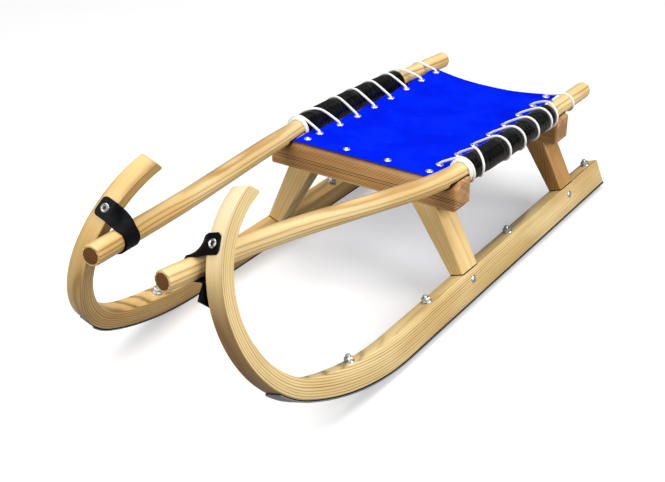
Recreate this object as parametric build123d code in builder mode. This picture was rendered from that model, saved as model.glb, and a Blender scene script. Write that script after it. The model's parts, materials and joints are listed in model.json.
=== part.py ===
from build123d import *
from math import asin, atan2, cos, degrees, hypot, radians, sin, tan
import os

os.makedirs("parts", exist_ok=True)

# Frame: X forward to the horns, Y to the left, Z up, millimetres, origin on the ground under the middle.
# Stations are measured forward from the side rails' rear ends.
overrun = 400.0
fit_gap = 0.1
soft_gap = 0.3
halving_count = 40
# Most of a run that one of its bends may take
corner_share = 0.48

# Runner: a bent laminated board that leans inward in its own plane.
cant_angle = 19.0
track_half = 192.0
runner_width = 28.0
runner_top = 52.0
steel_thick = 2.0
liner_thick = 1.5
wood_bottom = steel_thick + liner_thick
runner_rear = -4.0
runner_rear_slant = 12.0
runner_edge_round = 1.5
# After the underside's flat, tangent arcs run up to the horn's tip.
sole_flat_length = 763.5
sole_radii = (557.0, 189.0, 157.0)
sole_sweep_angles = (26.9, 62.4, 75.5)
# The upper side likewise, in shares of the underside's sizes that let the board grow thinner towards the tip.
deck_flat_share = 1.0347
deck_radius_shares = (1.0826, 0.8862, 0.8694)
deck_sweep_angles = (18.4, 52.5, 94.0)
tip_round = 7.0
# The steel rail ends on the second bend.
steel_sweep_share = 0.31

# Crossbeams
beam_length = 49.0
beam_height = 48.0
beam_inset = 6.5
beam_half_span = track_half - beam_inset
beam_nose_round = 20.0
beam_edge_round = 6.0
beam_front_top = 222.0
beam_step = 24.0
beam_rear_top = beam_front_top - beam_step

# Legs: trapezes that stand on rubber and lean in under the crossbeams.
gasket_thick = 2.0
leg_inset = 0.5
leg_out_angle = 24.5
leg_in_angle = 31.5
leg_length = 49.0
leg_forward_share = 0.075
leg_edge_round = 3.0
leg_front_foot = 537.5
leg_rear_foot = 146.0

# Straps: leather tabs screwed on the horns' fronts that turn round the rails
tab_turn_angle = 129.5
tab_length = 34.0
tab_width = 25.0
tab_overhang = 2.0
strap_width = 36.0
strap_thick = 2.5
strap_setback = 1.5
twist_reach = 12.0
twist_step_count = 4
tail_drop = 34.0
screw_out = 11.5
screw_radius = 6.5
screw_height = 2.0
screw_taper_angle = 30.0

# Side rails: round poles that bow outward and close in towards the horns.
rail_radius = 16.0
rail_end_chamfer = 3.5
rail_past_strap = 71.0
# columns: share of the rail's length, then shares of the front beam's height at which each bend's corner
# lies in from the runners' line and up from the ground
rail_shares = [
    (0.0, 0.161, 0.8848),
    (0.3355, 0.1057, 0.9747),
    (0.499, 0.1372, 1.0118),
    (0.8298, 0.4922, 1.2093),
    (1.0, 0.5834, 1.278),
]
pad_thick = 2.0
pad_overhang = 1.0

# Sleeves of soft rubber round the rails beside the seat
sleeve_radius = 22.5
sleeve_front_gap = 9.0
sleeve_rear_gap = 3.0

# Seat: a coated sheet riveted on the front crossbeam and laced to both rails
sheet_thick = 1.2
sheet_length = 494.0
sheet_sag = 18.7
sheet_past_beam = 19.0
sheet_front_gap = 2.3
sheet_rear_gap = 8.6
# columns: share of the way back from the front edge, share of the sag
sheet_shares = [
    (0.0, 0.0),
    (0.036, 0.0),
    (0.073, 0.0),
    (0.134, 0.155),
    (0.194, 0.348),
    (0.356, 0.636),
    (0.595, 0.807),
    (0.834, 0.877),
    (1.0, 1.0),
]
grommet_count = 8
grommet_front_inset = 53.0
grommet_first_pitch = 65.0
grommet_pitch = 59.0
grommet_edge_inset = 13.5
grommet_radius = 7.0
grommet_bore = 3.9
grommet_lip = 0.8
grommet_side_count = 20
rivet_setback = 17.0
rivet_half_shares = (0.293, 0.866)
rivet_radius = 6.5
rivet_height = 2.2
rivet_taper_angle = 35.0

# Lacing cord
cord_radius = 2.2
cord_side_count = 6
cord_gap = 0.5
cord_rise = 4.6
corner_round = 3.2
wrap_step_count = 5
plain_drift = (0.0, 0.0, 1.0, 5.0, 16.0)
# The turn that passes behind the rear crossbeam, and where the run before it crosses over under the sheet
beam_turn_index = 6
beam_drift = (0.0, 14.0, 28.0, 31.0, 34.0)
bridge_past_sleeve = 0.15
bridge_out = 7.4
bridge_drop = 9.4
# A hoop round the bare rail just ahead of the sleeve starts the cord.
hoop_ahead = 4.5
hoop_start_angle = -62.0
hoop_drift = (0.0, 0.0, 0.0, 0.0, 0.0)

# Nuts and bolts
nut_bend_share = 1.1336
nut_ahead_of_leg = 127.5
nut_between_share = 0.58
nut_behind_leg = 115.0
nut_across = 10.0
nut_side_count = 6
nut_height = 6.0
washer_radius = 8.0
washer_thick = 1.4
stud_radius = 3.0
stud_height = 9.0
bolt_drop = 17.0
bolt_radius = 6.0
bolt_height = 3.0
bolt_taper_angle = 30.0

# The flats' ends, and the upper side's bends
sole_end = runner_rear + sole_flat_length
deck_end = runner_rear + sole_flat_length * deck_flat_share
deck_radii = [bend_radius * share for bend_radius, share in zip(sole_radii, deck_radius_shares)]

# Where the horn's last bend is centred, found by walking the bends from the end of the flat
bend_station, bend_up, heading = sole_end, wood_bottom, 0.0
for bend_radius, sweep_angle in zip(sole_radii, sole_sweep_angles):
    horn_station = bend_station - bend_radius * sin(heading)
    horn_up = bend_up + bend_radius * cos(heading)
    heading += radians(sweep_angle)
    bend_station = horn_station + bend_radius * sin(heading)
    bend_up = horn_up - bend_radius * cos(heading)

tab_angle = radians(tab_turn_angle)
tab_station = horn_station + sole_radii[-1] * sin(tab_angle)
strap_station = tab_station - strap_setback
rail_length = strap_station + rail_past_strap
station_mid = (runner_rear + rail_length) / 2


floor_span = 2 * overrun + 2 * station_mid


def along(station):
    return station - station_mid


def keep(name, shape):
    shape.label = name
    export_step(shape, "parts/" + name + ".step")


def keep_pair(name, shape):
    keep(name + "_left", shape)
    with BuildPart() as other:
        mirror(shape, about=Plane.XZ)
    keep(name + "_right", other.part)


lean = radians(cant_angle)
side_plane = Plane(origin=(0, track_half, 0), x_dir=(1, 0, 0), z_dir=(0, -cos(lean), -sin(lean)))
across_runner = Axis((0, 0, 0), (0, cos(lean), sin(lean)))


def on_runner(station, out, up):
    """World point of a station at a depth out from the runner's inner side and a height up its plane."""
    y = track_half + out * cos(lean) - up * sin(lean)
    z = out * sin(lean) + up * cos(lean)
    return (along(station), y, z)


def deck_plane(up, station=0.0, out=0.0, pitch=0.0):
    """A plane across the runner at a height up it; pitch in radians follows the bend."""
    ahead = (cos(pitch), -sin(pitch) * sin(lean), sin(pitch) * cos(lean))
    normal = (-sin(pitch), -cos(pitch) * sin(lean), cos(pitch) * cos(lean))
    return Plane(origin=on_runner(station, out, up), x_dir=ahead, z_dir=normal)


def rounded_path(points, rounds=None):
    """Straight runs through the points, joined by tangent arcs of the given radii, or as large as fit."""
    corners = [Vector(*point) for point in points]
    rounds = rounds or [None] * len(corners)
    at = corners[0]
    for before, corner, after, bend_radius in zip(corners, corners[1:], corners[2:], rounds[1:]):
        back = (before - corner).normalized()
        ahead = (after - corner).normalized()
        turn = radians(180 - back.get_angle(ahead))
        reach = min((before - corner).length, (after - corner).length) * corner_share
        if bend_radius:
            reach = min(reach, bend_radius * tan(turn / 2))
        bend = reach / tan(turn / 2)
        start, end = corner + back * reach, corner + ahead * reach
        middle = corner + (back + ahead).normalized() * (bend / cos(turn / 2) - bend)
        Line(at, start)
        ThreePointArc(start, middle, end)
        at = end
    Line(at, corners[-1])


def sole_run(inset, sweep_angles):
    """The underside's line and arcs, inset upward from the ground; returns the last edge."""
    edge = Line((along(runner_rear), inset), (along(sole_end), inset))
    shift = wood_bottom - inset
    for bend_radius, sweep_angle in zip(sole_radii, sweep_angles):
        edge = JernArc(start=edge @ 1, tangent=edge % 1, radius=bend_radius + shift, arc_size=sweep_angle)
    return edge


def band(low, high, sweep_angles):
    """A strip between two insets that follows the runner's underside."""
    with BuildPart() as strip:
        with BuildSketch(side_plane):
            with BuildLine():
                under = sole_run(low, sweep_angles)
                over = sole_run(high, sweep_angles)
                Line(under @ 1, over @ 1)
                Line((along(runner_rear), low), (along(runner_rear), high))
            make_face()
        extrude(amount=-runner_width)
    return strip


# Runners
with BuildPart() as runner:
    with BuildSketch(side_plane):
        with BuildLine():
            sole = sole_run(wood_bottom, sole_sweep_angles)
            heel_top = along(runner_rear + runner_rear_slant)
            deck = Line((heel_top, runner_top), (along(deck_end), runner_top))
            Line((along(runner_rear), wood_bottom), deck @ 0)
            for bend_radius, sweep_angle in zip(deck_radii, deck_sweep_angles):
                deck = JernArc(start=deck @ 1, tangent=deck % 1, radius=bend_radius, arc_size=sweep_angle)
            Line(sole @ 1, deck @ 1)
        make_face()
    extrude(amount=-runner_width)
    fillet(runner.edges().filter_by(across_runner).sort_by(Axis.Z)[-2:], radius=tip_round)
    fillet(runner.faces().filter_by(across_runner).edges(), radius=runner_edge_round)
keep_pair("runner", runner.part)

steel_sweep_angles = (sole_sweep_angles[0], sole_sweep_angles[1] * steel_sweep_share)
keep_pair("runner_liner", band(steel_thick, wood_bottom, steel_sweep_angles).part)
keep_pair("steel_rail", band(0, steel_thick, steel_sweep_angles).part)


# Legs and the rubber under them
def leg_edges(level):
    """Half distances of a leg's outer and inner edges at a height above the ground."""
    foot_up = runner_top + gasket_thick
    _, outer_y, outer_z = on_runner(0, runner_width - leg_inset, foot_up)
    _, inner_y, inner_z = on_runner(0, leg_inset, foot_up)
    outer = outer_y - (level - outer_z) * tan(radians(leg_out_angle))
    inner = inner_y - (level - inner_z) * tan(radians(leg_in_angle))
    return outer, inner


def leg_middle(foot_station, level):
    """Station of a leg's middle at a height; legs lean slightly forward."""
    return foot_station + (level - runner_top) * leg_forward_share


def leg_blank(foot_station, top):
    """A leg from below its foot up to the crossbeam's underside: a trapeze tilted forward, as thick as the leg."""
    low, high = runner_top / 2, top + leg_length * leg_forward_share
    low_outer, low_inner = leg_edges(low)
    high_outer, high_inner = leg_edges(high)
    forward = Vector(leg_forward_share, 0, 1)
    square = Vector(1, 0, -leg_forward_share)
    stretch = forward.length
    with BuildPart() as blank:
        with BuildSketch(Plane(origin=(along(leg_middle(foot_station, 0)), 0, 0), x_dir=(0, 1, 0), z_dir=square)):
            Polygon(
                (low_outer, low * stretch),
                (low_inner, low * stretch),
                (high_inner, high * stretch),
                (high_outer, high * stretch),
                align=None,
            )
        extrude(amount=leg_length / stretch / 2, both=True)
        across_leg = Axis((0, 0, 0), square)
        uprights = blank.edges().filter_by(Axis.Y, reverse=True).filter_by(across_leg, reverse=True)
        fillet(uprights, radius=leg_edge_round)
        with BuildSketch(Plane.XY.offset(top)):
            Rectangle(floor_span, floor_span)
        extrude(amount=overrun, mode=Mode.SUBTRACT)
    return blank


# columns: place, station of the foot, height of the beam's top
supports = [
    ("front", leg_front_foot, beam_front_top),
    ("rear", leg_rear_foot, beam_rear_top),
]

for place, foot_station, beam_top in supports:
    blank = leg_blank(foot_station, beam_top - beam_height)
    with BuildPart() as leg:
        add(blank.part)
        with BuildSketch(deck_plane(runner_top + gasket_thick)):
            Rectangle(floor_span, overrun)
        extrude(amount=-overrun, mode=Mode.SUBTRACT)
    keep_pair("leg_" + place, leg.part)
    with BuildPart() as gasket:
        add(blank.part)
        with BuildSketch(deck_plane(runner_top)):
            Rectangle(floor_span, overrun)
        extrude(amount=gasket_thick, mode=Mode.INTERSECT)
    keep_pair("leg_gasket_" + place, gasket.part)


# Side rails
def rail_path(side):
    places = []
    for length_share, inset_share, height_share in rail_shares:
        half = side * (track_half - beam_front_top * inset_share)
        places.append((along(rail_length * length_share), half, beam_front_top * height_share))
    rounded_path(places)


def rail_body(radius, side=1, mode=Mode.ADD):
    """A round bar along a side rail's centre line, added to the part being built."""
    with BuildLine() as centre:
        rail_path(side)
    with BuildSketch(Plane(origin=centre.line @ 0, z_dir=centre.line % 0)) as ring:
        Circle(radius)
    sweep(ring.sketch, path=centre.line, mode=mode)


with BuildLine() as rail_line:
    rail_path(1)
rail_curve = rail_line.line


def share_at(curve, station):
    """Share of a curve's length at which it crosses a station."""
    low_share, high_share = 0.0, 1.0
    for _ in range(halving_count):
        middle_share = (low_share + high_share) / 2
        if (curve @ middle_share).X < along(station):
            low_share = middle_share
        else:
            high_share = middle_share
    return low_share


def rail_centre(station):
    """Half distance and height of the side rail's centre at a station."""
    point = rail_curve @ share_at(rail_curve, station)
    return point.Y, point.Z


with BuildPart() as rail:
    rail_body(rail_radius)
    chamfer(rail.faces().sort_by(Axis.X)[0].edges(), length=rail_end_chamfer)
    chamfer(rail.faces().sort_by(Axis.X)[-1].edges(), length=rail_end_chamfer)
keep_pair("side_rail", rail.part)


def slab(front, rear):
    """Keeps only what lies between two stations."""
    with BuildSketch(Plane.YZ.offset(along(rear))) as cut:
        Rectangle(2 * overrun, 2 * overrun)
    extrude(cut.sketch, amount=front - rear, mode=Mode.INTERSECT)


# Crossbeams with saddles for the rails, and the rubber in the saddles
beam_middles = {}
for place, foot_station, beam_top in supports:
    middle = leg_middle(foot_station, beam_top - beam_height)
    beam_middles[place] = middle
    with BuildPart() as beam:
        with BuildSketch(Plane.XZ.offset(-beam_half_span)):
            with Locations((along(middle), beam_top - beam_height / 2)):
                Rectangle(beam_length, beam_height)
        extrude(amount=2 * beam_half_span)
        top_edges = beam.faces().sort_by(Axis.Z)[-1].edges().filter_by(Axis.Y).sort_by(Axis.X)
        fillet(top_edges[-1], radius=beam_nose_round)
        fillet(top_edges[0], radius=beam_edge_round)
        fillet(beam.faces().sort_by(Axis.Y)[0].edges(), radius=beam_edge_round)
        fillet(beam.faces().sort_by(Axis.Y)[-1].edges(), radius=beam_edge_round)
        rail_body(rail_radius + pad_thick, side=1, mode=Mode.SUBTRACT)
        rail_body(rail_radius + pad_thick, side=-1, mode=Mode.SUBTRACT)
    keep("crossbeam_" + place, beam.part)
    with BuildPart() as pad:
        rail_body(rail_radius + pad_thick - fit_gap)
        rail_body(rail_radius + fit_gap, mode=Mode.SUBTRACT)
        slab(middle + beam_length / 2 + pad_overhang, middle - beam_length / 2 - pad_overhang)
        with BuildSketch(Plane.XY.offset(beam_top + pad_overhang)):
            Rectangle(floor_span, floor_span)
        extrude(amount=-overrun, mode=Mode.INTERSECT)
    keep_pair("rail_pad_" + place, pad.part)

# Sleeves, from behind the front crossbeam to the rear one
sleeve_front = beam_middles["front"] - beam_length / 2 - sleeve_front_gap
sleeve_rear = beam_middles["rear"] + beam_length / 2 + sleeve_rear_gap
with BuildPart() as sleeve:
    rail_body(sleeve_radius)
    rail_body(rail_radius + soft_gap, mode=Mode.SUBTRACT)
    slab(sleeve_front, sleeve_rear)
keep_pair("sleeve", sleeve.part)

# Seat sheet
sheet_front = beam_middles["front"] + sheet_past_beam
sheet_rear = sheet_front - sheet_length
sheet_front_half = rail_centre(sheet_front)[0] - rail_radius - sheet_front_gap
sheet_rear_half = rail_centre(sheet_rear)[0] - rail_radius - sheet_rear_gap
sheet_top = beam_front_top + fit_gap + sheet_thick


def sheet_line(drop):
    """The sheet's profile, a drop below its upper side."""
    places = []
    for back_share, sag_share in sheet_shares:
        places.append((along(sheet_front - sheet_length * back_share), sheet_top - drop - sheet_sag * sag_share))
    return Spline(*places)


with BuildLine() as sheet_middle:
    sheet_curve = sheet_line(sheet_thick / 2)


def sheet_at(station):
    """Height and slope in degrees of the sheet's middle at a station."""
    low_share, high_share = 0.0, 1.0
    for _ in range(halving_count):
        middle_share = (low_share + high_share) / 2
        if (sheet_curve @ middle_share).X > along(station):
            low_share = middle_share
        else:
            high_share = middle_share
    tangent = sheet_curve % low_share
    return (sheet_curve @ low_share).Y, degrees(atan2(-tangent.Y, -tangent.X))


grommet_first = sheet_front - grommet_front_inset
grommet_stations = [grommet_first]
for index in range(grommet_count - 1):
    grommet_stations.append(grommet_first - grommet_first_pitch - index * grommet_pitch)
grommet_half = sheet_rear_half - grommet_edge_inset

with BuildPart() as sheet:
    with BuildSketch(Plane.XZ.offset(-sheet_front_half)):
        with BuildLine():
            top = sheet_line(0)
            low = sheet_line(sheet_thick)
            Line(top @ 0, low @ 0)
            Line(top @ 1, low @ 1)
        make_face()
    extrude(amount=2 * sheet_front_half)
    with BuildSketch(Plane.XY):
        with BuildLine():
            Polyline(
                (along(sheet_rear), -sheet_rear_half),
                (along(sheet_front), -sheet_front_half),
                (along(sheet_front), sheet_front_half),
                (along(sheet_rear), sheet_rear_half),
                close=True,
            )
        make_face()
    extrude(amount=overrun, mode=Mode.INTERSECT)
    with BuildSketch(Plane.XY):
        for station in grommet_stations:
            with Locations((along(station), grommet_half), (along(station), -grommet_half)):
                Circle(grommet_bore + grommet_lip)
    extrude(amount=overrun, mode=Mode.SUBTRACT)
keep("seat_sheet", sheet.part)

# Grommets and rivets
face_rise = sheet_thick / 2 + fit_gap
with BuildPart() as grommets:
    for station in grommet_stations:
        height, slope = sheet_at(station)
        spot = Plane(Location((along(station), grommet_half, height), (0, -slope, 0)))
        for rise, lip in ((face_rise, grommet_lip), (-face_rise, -grommet_lip)):
            with BuildSketch(spot.offset(rise)):
                RegularPolygon(grommet_radius, grommet_side_count)
                RegularPolygon(grommet_bore, grommet_side_count, major_radius=False, mode=Mode.SUBTRACT)
            extrude(amount=lip)
        with BuildSketch(spot.offset(-face_rise)):
            RegularPolygon(grommet_bore + grommet_lip - soft_gap, grommet_side_count)
            RegularPolygon(grommet_bore, grommet_side_count, major_radius=False, mode=Mode.SUBTRACT)
        extrude(amount=2 * face_rise)
keep_pair("grommets", grommets.part)

with BuildPart() as rivets:
    for half_share in rivet_half_shares:
        for side in (1, -1):
            with BuildSketch(Plane.XY.offset(sheet_top + fit_gap)):
                with Locations((along(sheet_front - rivet_setback), side * sheet_front_half * half_share)):
                    Circle(rivet_radius)
            extrude(amount=rivet_height, taper=rivet_taper_angle)
keep("seat_rivets", rivets.part)


# Lacing: over the sleeve from each grommet, round it and back under the sheet to the next
def wrap_points(station, radius, start, stop, drift):
    """Corners of a run round the rail; angles from straight up, positive outward."""
    half_step = (stop - start) / wrap_step_count / 2
    points = []
    for index in range(wrap_step_count):
        angle = radians(start + (2 * index + 1) * half_step)
        half, height = rail_centre(station - drift[index])
        reach = radius / cos(radians(half_step))
        points.append((along(station - drift[index]), half + reach * sin(angle), height + reach * cos(angle)))
    return points


sleeve_wrap = sleeve_radius + cord_gap + cord_radius
rail_wrap = rail_radius + cord_gap + cord_radius


def tangent_angle(station, height, radius, turn):
    """Angle from straight up at which a run from the grommet meets the wrap; turn is 1 above, -1 below."""
    half, rail_height = rail_centre(station)
    across, down = half - grommet_half, rail_height - height
    reach = hypot(across, down)
    swing = degrees(atan2((reach**2 - radius**2) ** 0.5, radius))
    return -90 - degrees(atan2(down, across)) + turn * swing


with BuildPart() as lacing:
    with BuildLine() as route:
        hoop_station = sleeve_front + hoop_ahead
        first_low = sheet_at(grommet_stations[0])[0] - cord_rise
        hoop_stop = tangent_angle(hoop_station, first_low, rail_wrap, -1) + 360
        points = wrap_points(hoop_station, rail_wrap, hoop_start_angle, hoop_stop, hoop_drift)
        rounds = [rail_wrap] * wrap_step_count
        following = grommet_stations[1:] + grommet_stations[-1:]
        for index, (station, next_station) in enumerate(zip(grommet_stations, following)):
            covered = sleeve_rear < station < sleeve_front
            radius = sleeve_wrap if covered else rail_wrap
            height, _ = sheet_at(station)
            low, high = height - cord_rise, height + cord_rise
            points += [(along(station), grommet_half, low), (along(station), grommet_half, high)]
            rounds += [corner_round, corner_round]
            start = tangent_angle(station, high, radius, 1)
            drift = beam_drift if index == beam_turn_index else plain_drift
            next_low = sheet_at(next_station)[0] - cord_rise
            stop = tangent_angle(station - drift[-1], next_low, radius, -1) + 360
            points += wrap_points(station, radius, start, stop, drift)
            rounds += [radius] * wrap_step_count
            if index == beam_turn_index - 1:
                bridge_station = sleeve_rear + bridge_past_sleeve
                bridge_height = sheet_at(bridge_station)[0] - bridge_drop
                points.append((along(bridge_station), grommet_half + bridge_out, bridge_height))
                rounds.append(corner_round)
        rounded_path(points, rounds)
    with BuildSketch(Plane(origin=route.line @ 0, z_dir=route.line % 0)):
        RegularPolygon(cord_radius, cord_side_count)
    sweep(path=route.line)
keep_pair("lacing", lacing.part)

# Nuts on the runners' upper side and bolt heads on their outer side
nut_stations = [
    deck_end * nut_bend_share,
    leg_front_foot + nut_ahead_of_leg,
    leg_rear_foot + (leg_front_foot - leg_rear_foot) * nut_between_share,
    leg_rear_foot - nut_behind_leg,
]

with BuildPart() as nuts:
    for station in nut_stations:
        pitch = asin(max(station - deck_end, 0.0) / deck_radii[0])
        up = runner_top + deck_radii[0] * (1 - cos(pitch)) + fit_gap
        seat = deck_plane(up, station, runner_width / 2, pitch)
        with BuildSketch(seat):
            Circle(washer_radius)
        extrude(amount=washer_thick)
        with BuildSketch(seat.offset(washer_thick)):
            RegularPolygon(nut_across / 2, nut_side_count, major_radius=False)
        extrude(amount=nut_height)
        with BuildSketch(seat.offset(washer_thick + nut_height)):
            Circle(stud_radius)
        extrude(amount=stud_height - nut_height)
keep_pair("runner_nuts", nuts.part)

with BuildPart() as bolts:
    for _, foot_station, _ in supports:
        spot = on_runner(foot_station, runner_width, runner_top - bolt_drop)
        with BuildSketch(Plane(origin=spot, x_dir=(1, 0, 0), z_dir=(0, cos(lean), sin(lean)))):
            Circle(bolt_radius)
        extrude(amount=bolt_height, taper=bolt_taper_angle)
keep_pair("leg_bolts", bolts.part)


# Straps: a tab on the horn's front, a twist, a turn over and under the rail, a tail on the horn's side
def on_horn(angle, rise):
    """Side plane's point over the horn's front face, at a heading and a rise off the face."""
    reach = sole_radii[-1] + rise
    return along(horn_station) + reach * sin(angle), horn_up - reach * cos(angle)


def on_front(angle, rise, out):
    """The same point in the world, at a depth out from the runner's inner side."""
    x, up = on_horn(angle, rise)
    _, y, z = on_runner(0, out, up)
    return Vector(x, y, z)


tab_half_angle = tab_length / sole_radii[-1] / 2
tab_bottom, tab_top = tab_angle - tab_half_angle, tab_angle + tab_half_angle
tab_low, tab_high = fit_gap, fit_gap + strap_thick
strap_share = share_at(rail_curve, strap_station)
strap_centre = rail_curve @ strap_share
turn_plane = Plane(origin=strap_centre, x_dir=(0, cos(lean), sin(lean)), z_dir=rail_curve % strap_share)
side_gap = side_plane.to_local_coords(strap_centre).Z
loop_low = rail_radius + soft_gap
loop_high = loop_low + strap_thick

# The twist runs from the tab's inner edge to the loop's upper edge in a few flat steps.
tab_corners = [
    on_front(tab_bottom, tab_low, -tab_overhang),
    on_front(tab_bottom, tab_high, -tab_overhang),
    on_front(tab_top, tab_high, -tab_overhang),
    on_front(tab_top, tab_low, -tab_overhang),
]
loop_corners = [
    turn_plane.from_local_coords(Vector(twist_reach, rise, reach))
    for rise, reach in (
        (loop_low, strap_width / 2),
        (loop_high, strap_width / 2),
        (loop_high, -strap_width / 2),
        (loop_low, -strap_width / 2),
    )
]
twist_sections = []
for index in range(twist_step_count + 1):
    step_share = index / twist_step_count
    corners = [start * (1 - step_share) + end * step_share for start, end in zip(tab_corners, loop_corners)]
    twist_sections.append(Wire.make_polygon(corners, close=True))
twist = Solid.make_loft(twist_sections, ruled=True)

with BuildPart() as strap:
    with BuildSketch(turn_plane):
        Circle(loop_high)
        Circle(loop_low, mode=Mode.SUBTRACT)
        with Locations((overrun / 2, 0)):
            Rectangle(overrun, 2 * loop_high, mode=Mode.SUBTRACT)
        with Locations((twist_reach / 2, (loop_low + loop_high) / 2)):
            Rectangle(twist_reach, strap_thick)
        with Locations((side_gap / 2, -(loop_low + loop_high) / 2)):
            Rectangle(side_gap, strap_thick)
        with Locations((side_gap, -loop_low)):
            Rectangle(2 * strap_thick, tail_drop, align=(Align.CENTER, Align.MAX))
    extrude(amount=strap_width / 2, both=True)
    with BuildSketch(side_plane.offset(fit_gap)):
        Rectangle(floor_span, floor_span)
    extrude(amount=-overrun, mode=Mode.SUBTRACT)
    add(twist)
    with BuildSketch(side_plane.offset(tab_overhang)):
        with BuildLine():
            angles = (tab_bottom, tab_angle, tab_top)
            under = ThreePointArc(*[on_horn(angle, tab_low) for angle in angles])
            over = ThreePointArc(*[on_horn(angle, tab_high) for angle in angles])
            Line(under @ 0, over @ 0)
            Line(under @ 1, over @ 1)
        make_face()
    extrude(amount=-tab_width)
keep_pair("strap", strap.part)

with BuildPart() as strap_screw:
    normal = (sin(tab_angle), cos(tab_angle) * sin(lean), -cos(tab_angle) * cos(lean))
    with BuildSketch(Plane(origin=on_front(tab_angle, tab_high + fit_gap, screw_out), z_dir=normal)):
        Circle(screw_radius)
    extrude(amount=screw_height, taper=screw_taper_angle)
keep_pair("strap_screw", strap_screw.part)
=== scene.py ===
import json
import math

import bmesh
import bpy
from mathutils import Matrix, Vector, noise


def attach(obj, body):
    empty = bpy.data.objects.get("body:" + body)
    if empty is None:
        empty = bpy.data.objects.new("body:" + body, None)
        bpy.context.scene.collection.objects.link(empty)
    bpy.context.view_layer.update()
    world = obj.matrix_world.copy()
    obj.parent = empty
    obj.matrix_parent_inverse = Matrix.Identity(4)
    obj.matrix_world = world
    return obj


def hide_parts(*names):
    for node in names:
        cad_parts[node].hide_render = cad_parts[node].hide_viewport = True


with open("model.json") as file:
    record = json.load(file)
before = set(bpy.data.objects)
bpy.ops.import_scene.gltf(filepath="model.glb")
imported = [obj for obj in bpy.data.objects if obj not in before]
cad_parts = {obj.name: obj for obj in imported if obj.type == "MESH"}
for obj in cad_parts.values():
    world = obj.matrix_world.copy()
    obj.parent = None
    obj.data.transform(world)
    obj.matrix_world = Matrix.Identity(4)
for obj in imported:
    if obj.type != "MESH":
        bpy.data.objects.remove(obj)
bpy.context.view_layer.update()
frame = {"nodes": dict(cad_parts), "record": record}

# Metres, in the frame of the solids: X forward to the horns, Y left, Z up.
# Stations are measured forward from the side rails' rear ends.
STATION_MID = 0.57232
SIDES = {"left": 1.0, "right": -1.0}

# Runner boards: canted, with their front ends curled up into horns
CANT = math.radians(19.0)
TRACK_HALF = 0.192
RUNNER_WIDTH = 0.028
WOOD_BOTTOM = 0.0035
RUNNER_TOP = 0.052
RUNNER_THICK = RUNNER_TOP - WOOD_BOTTOM
RUNNER_REAR = -0.004
RUNNER_EDGE = 0.0018
RUNNER_CUTS = 460
HEEL_SLANT = 0.006
HEEL_LENGTH = 0.03
# length of the flat, then (radius, sweep in degrees) of each bend
SOLE = (0.7635, ((0.557, 26.9), (0.189, 62.4), (0.157, 75.5)))
DECK = (0.790, ((0.603, 18.4), (0.1675, 52.5), (0.1365, 98.0)))
# the tip's roundings at the sole and at the deck, and the stretch over which the deck is drawn out to it
TIP_ROUNDS = (0.004, 0.010)
TIP_STRETCH = 0.06

# Side rails
RAIL_RADIUS = 0.016
RAIL_LENGTH = 1.14864
RAIL_EDGE = 0.0034
BEAM_TOP = 0.222
# share of the rail's length, then shares of the front beam's height at which each bend's corner
# lies in from the runners' line and up from the ground
RAIL_SHARES = (
    (0.0, 0.161, 0.8848),
    (0.3355, 0.1057, 0.9747),
    (0.499, 0.1372, 1.0118),
    (0.8298, 0.4922, 1.2093),
    (1.0, 0.5834, 1.278),
)
# share of the shorter run beside a corner that its arc takes up
CORNER_SHARE = 0.48
# facets left by the plane: depths as shares of the radius, at the rear and what the front end adds,
# then the shares of the rail's length at which that starts and over which it grows
FACET_COUNT = 8
FACET_DEPTH = 0.006
FRONT_FACET_DEPTH = 0.03
FRONT_FACET_START = 0.45
FRONT_FACET_RUN = 0.2

# Seat sheet and its grommets, which stand GROMMET_HALF out from the middle
SHEET_FRONT = 0.56565
SHEET_LENGTH = 0.494
SHEET_THICK = 0.0012
SHEET_SAG = 0.0187
SHEET_TOP = 0.2233
# share of the way back from the front edge, share of the sag
SHEET_SHARES = (
    (0.0, 0.0),
    (0.036, 0.0),
    (0.073, 0.0),
    (0.134, 0.155),
    (0.194, 0.348),
    (0.356, 0.636),
    (0.595, 0.807),
    (0.834, 0.877),
    (1.0, 1.0),
)
GROMMET_STATIONS = (0.51265, 0.44765, 0.38865, 0.32965, 0.27065, 0.21165, 0.15265, 0.09365)
GROMMET_HALF = 0.12044
RIVET_HALVES = (0.041, 0.121)
RIVET_SETBACK = 0.017

# Sleeves and cord
SLEEVE_RADIUS = 0.0225
SLEEVE_FRONT = 0.51315
SLEEVE_REAR = 0.18085
CORD_RADIUS = 0.0022

# Nuts on the runners' decks, bolt heads on their outer faces
NUT_STATIONS = (0.8910, 0.6650, 0.3731, 0.0310)
BOLT_STATIONS = (0.5375, 0.146)
BOLT_HEIGHT = 0.035


# Shader maths: a socket that does arithmetic, and one maker of nodes
class Value:
    def __init__(self, shade, socket):
        self.shade = shade
        self.socket = socket

    def _math(self, operation, *others):
        sockets = dict(enumerate((self, *others)))
        return self.shade.node("ShaderNodeMath", {"operation": operation}, sockets)

    def __add__(self, other):
        return self._math("ADD", other)

    def __sub__(self, other):
        return self._math("SUBTRACT", other)

    def __rsub__(self, other):
        return self.shade.node("ShaderNodeMath", {"operation": "SUBTRACT"}, {0: other, 1: self})

    def __mul__(self, other):
        return self._math("MULTIPLY", other)

    def __pow__(self, other):
        return self._math("POWER", other)

    __radd__ = __add__
    __rmul__ = __mul__

    def sine(self):
        return self._math("SINE")

    def size(self):
        return self._math("ABSOLUTE")

    def root(self):
        return self._math("SQRT")

    def clamp(self):
        return self.shade.node("ShaderNodeClamp", {}, {0: self})

    def above(self, low, high):
        """0 below low, 1 above high, smooth between."""
        settings = {"interpolation_type": "SMOOTHSTEP"}
        sockets = {0: self, 1: low, 2: high, 3: 0.0, 4: 1.0}
        return self.shade.node("ShaderNodeMapRange", settings, sockets)


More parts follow.
